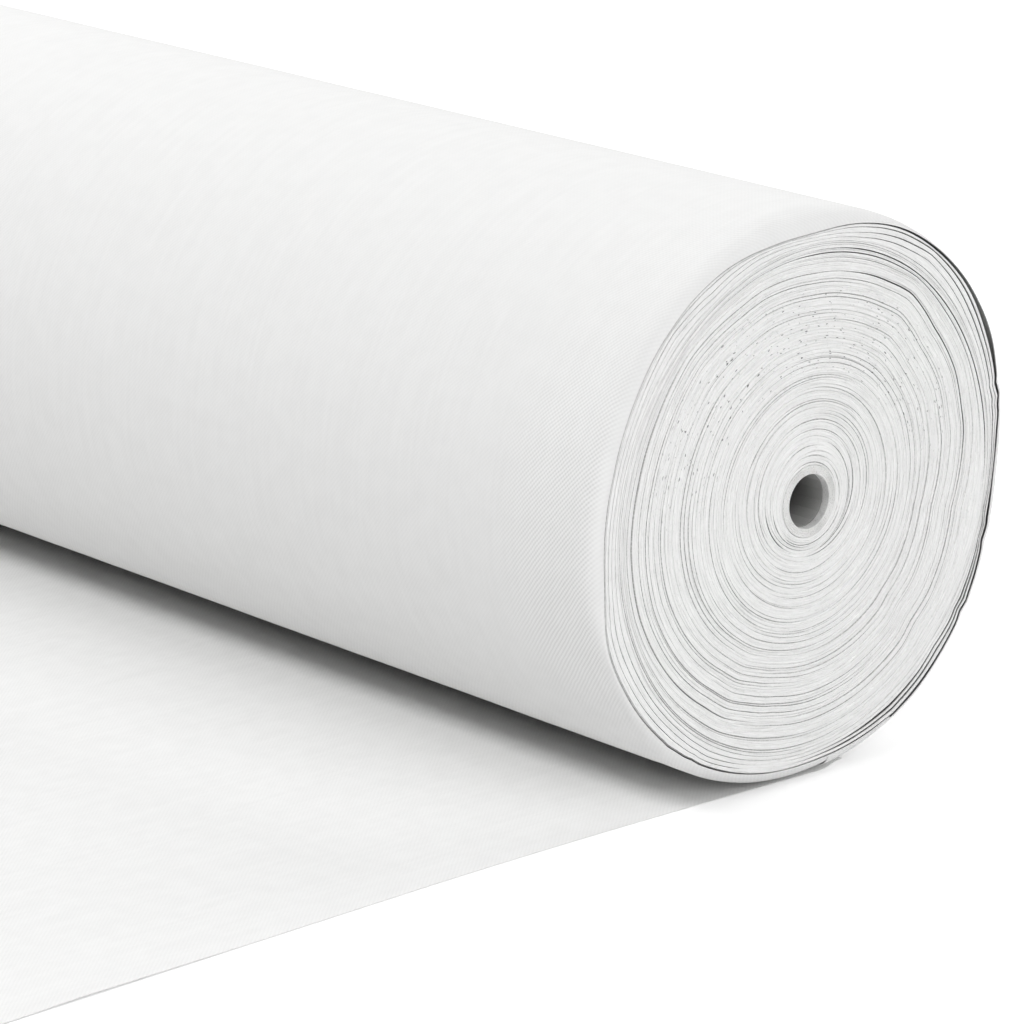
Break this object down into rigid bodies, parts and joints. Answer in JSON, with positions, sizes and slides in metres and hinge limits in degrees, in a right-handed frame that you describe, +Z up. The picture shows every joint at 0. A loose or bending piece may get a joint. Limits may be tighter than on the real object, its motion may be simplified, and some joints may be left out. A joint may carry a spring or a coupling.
{
  "type": "roll of frost protection fleece",
  "caption": "Wide roll of thin white nonwoven garden fleece on a paper core, its free end drawn off underneath and laid flat in front.",
  "frame": {"origin": "on the ground under the roll's axis, half way along the roll", "axes": "+X along the roll towards the pictured end, -Y the way the free web lies, +Z up"},
  "size_m": [1.626, 0.9499, 0.4011],
  "materials": {
    "laid_fleece": "white spunbonded nonwoven, matt",
    "outer_fleece": "white spunbonded nonwoven with fine embossed points, matt",
    "wound_fleece": "cut edges of wound nonwoven, matt",
    "core_board": "pale grey wound paperboard",
    "core_paper": "grey recycled paper ply",
    "adhesive": "translucent double-sided adhesive tab"
  },
  "bodies": {
    "laid_web": {"laid_web": "laid_fleece"},
    "outer_turn": {"outer_turn": "outer_fleece"},
    "roll": {"wound_web": "wound_fleece", "core_tube": "core_board", "core_liner": "core_paper", "start_tape_left": "adhesive", "start_tape_middle": "adhesive", "start_tape_right": "adhesive"}
  },
  "joints": [
    {"name": "roll_travel", "type": "slide", "parent": "laid_web", "child": "outer_turn", "axis": [0, -1, 0], "range_m": [0, 0.7]},
    {"name": "roll_turn", "type": "hinge", "parent": "outer_turn", "child": "roll", "pos_m": [0, 0, 0.2013], "axis": [1, 0, 0], "range_deg": [0, 200]}
  ],
  "couplings": [
    {"joint": "roll_turn", "follows": "roll_travel", "rad_per_m": 4.9677}
  ]
}
